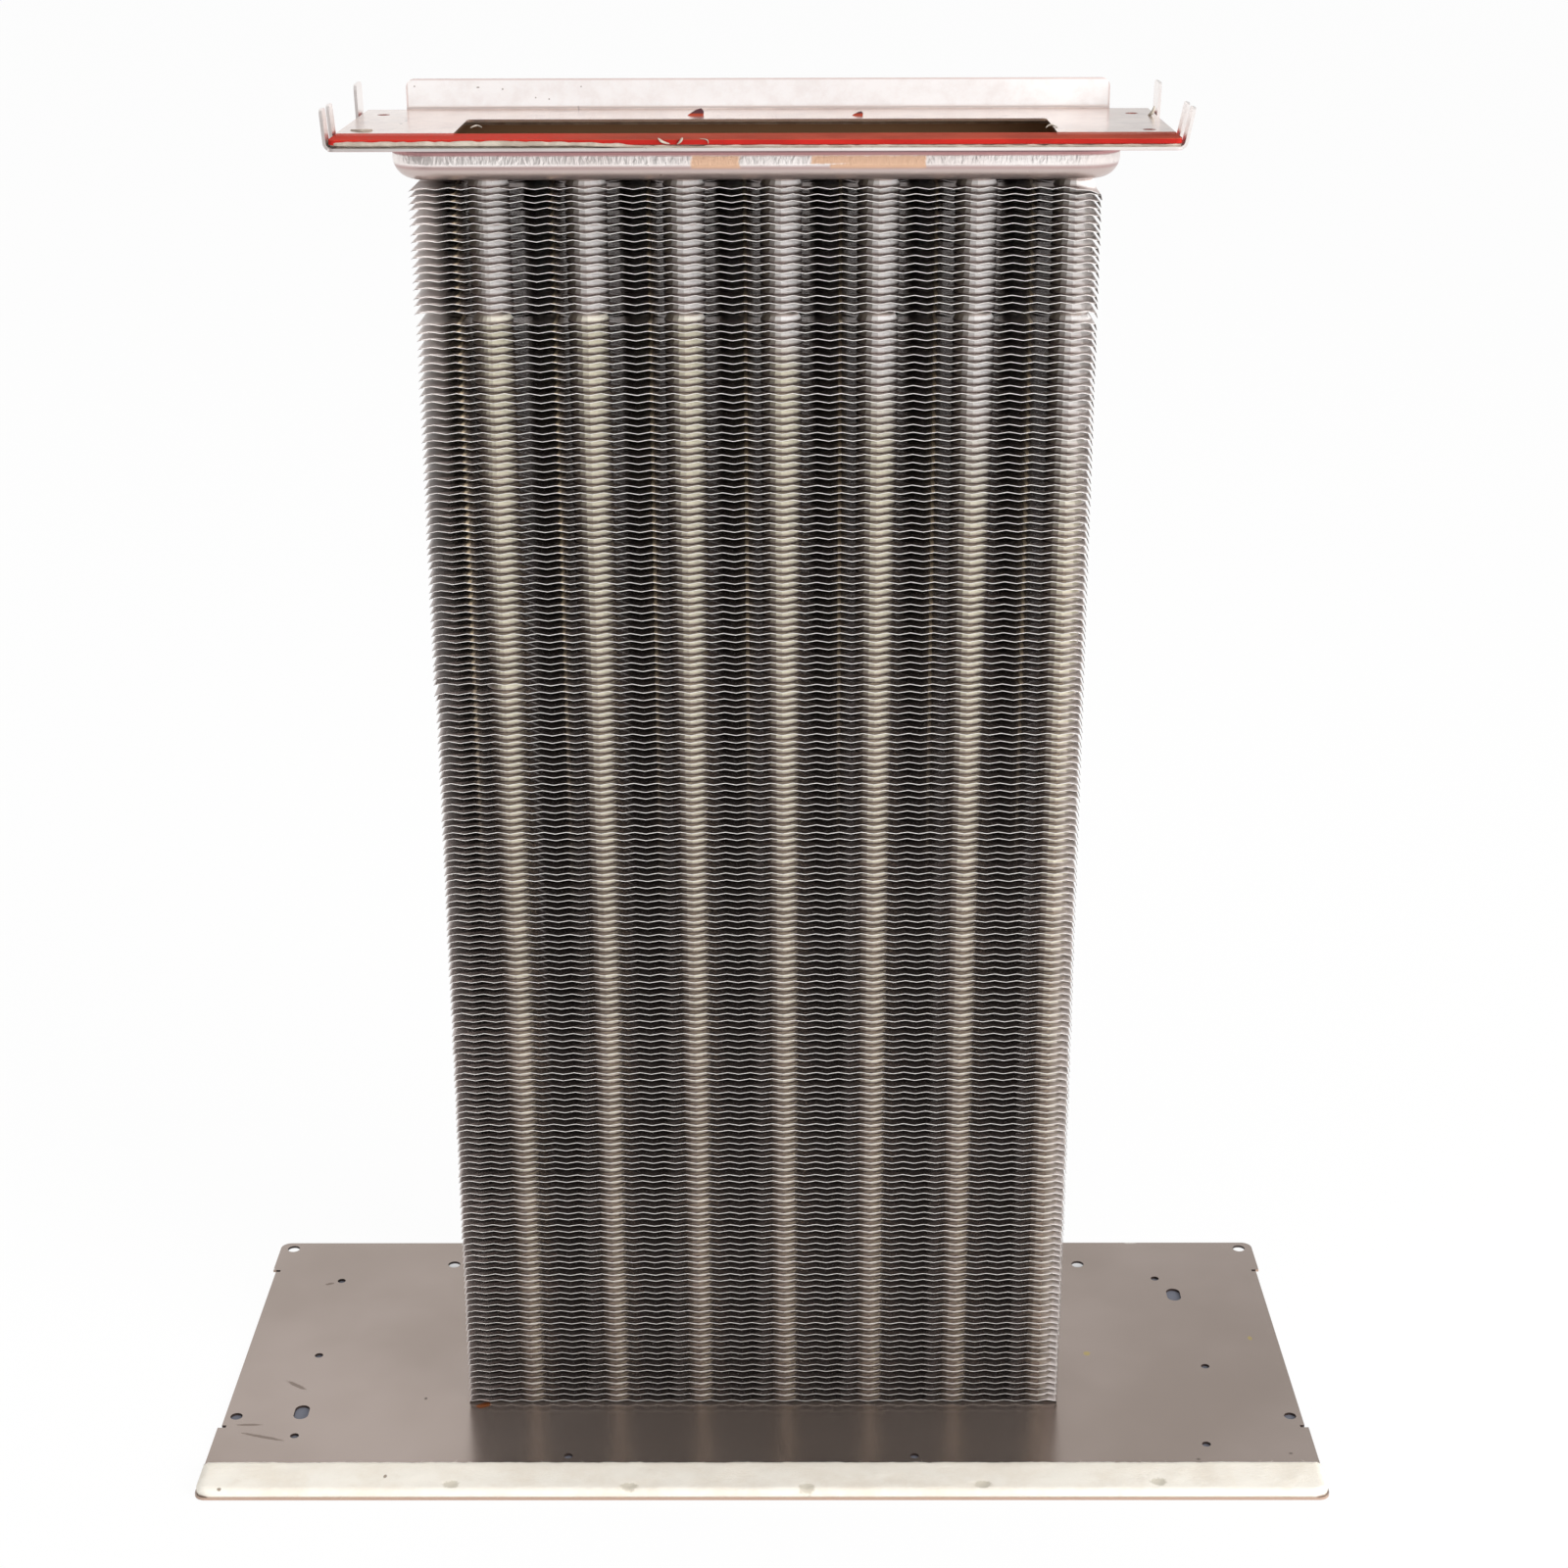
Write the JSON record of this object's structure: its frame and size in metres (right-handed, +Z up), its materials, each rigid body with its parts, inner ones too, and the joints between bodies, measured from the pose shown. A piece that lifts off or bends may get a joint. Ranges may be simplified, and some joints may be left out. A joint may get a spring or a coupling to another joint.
{
  "type": "furnace heat exchanger",
  "caption": "Upright finned-tube furnace heat exchanger on a flat punched panel, with an open flanged header tray, red gasket and bright plate on top.",
  "frame": {"origin": "middle of the panel's underside", "axes": "+Z up along the tubes, -Y towards the felt strip at the panel's front edge, +X to the right seen from the front"},
  "size_m": [0.4064, 0.1828, 0.4825],
  "materials": {
    "panel_steel": "semi-gloss coated sheet, grey-brown, lightly scuffed",
    "white_felt": "matt felt strip",
    "tray_steel": "satin stainless sheet, faintly wrinkled by drawing",
    "beige_sealant": "matt sealant bead",
    "red_gasket": "matt silicone sheet",
    "plate_steel": "bright sheet, mottled at the upstand",
    "fin_metal": "bright rolled foil",
    "tube_steel": "satin stainless tube"
  },
  "bodies": {
    "root": {"vestibule_panel": "panel_steel", "panel_gasket": "white_felt", "header_tray": "tray_steel", "header_sealant": "beige_sealant", "header_gasket": "red_gasket", "header_plate": "plate_steel", "fin_stack_1": "fin_metal", "fin_stack_2": "fin_metal", "fin_stack_3": "fin_metal", "fin_stack_4": "fin_metal", "tube_front_1": "tube_steel", "tube_front_2": "tube_steel", "tube_front_3": "tube_steel", "tube_front_4": "tube_steel", "tube_front_5": "tube_steel", "tube_front_6": "tube_steel", "tube_front_7": "tube_steel", "tube_rear_1": "tube_steel", "tube_rear_2": "tube_steel", "tube_rear_3": "tube_steel", "tube_rear_4": "tube_steel", "tube_rear_5": "tube_steel", "tube_rear_6": "tube_steel", "tube_rear_7": "tube_steel"}
  },
  "joints": []
}
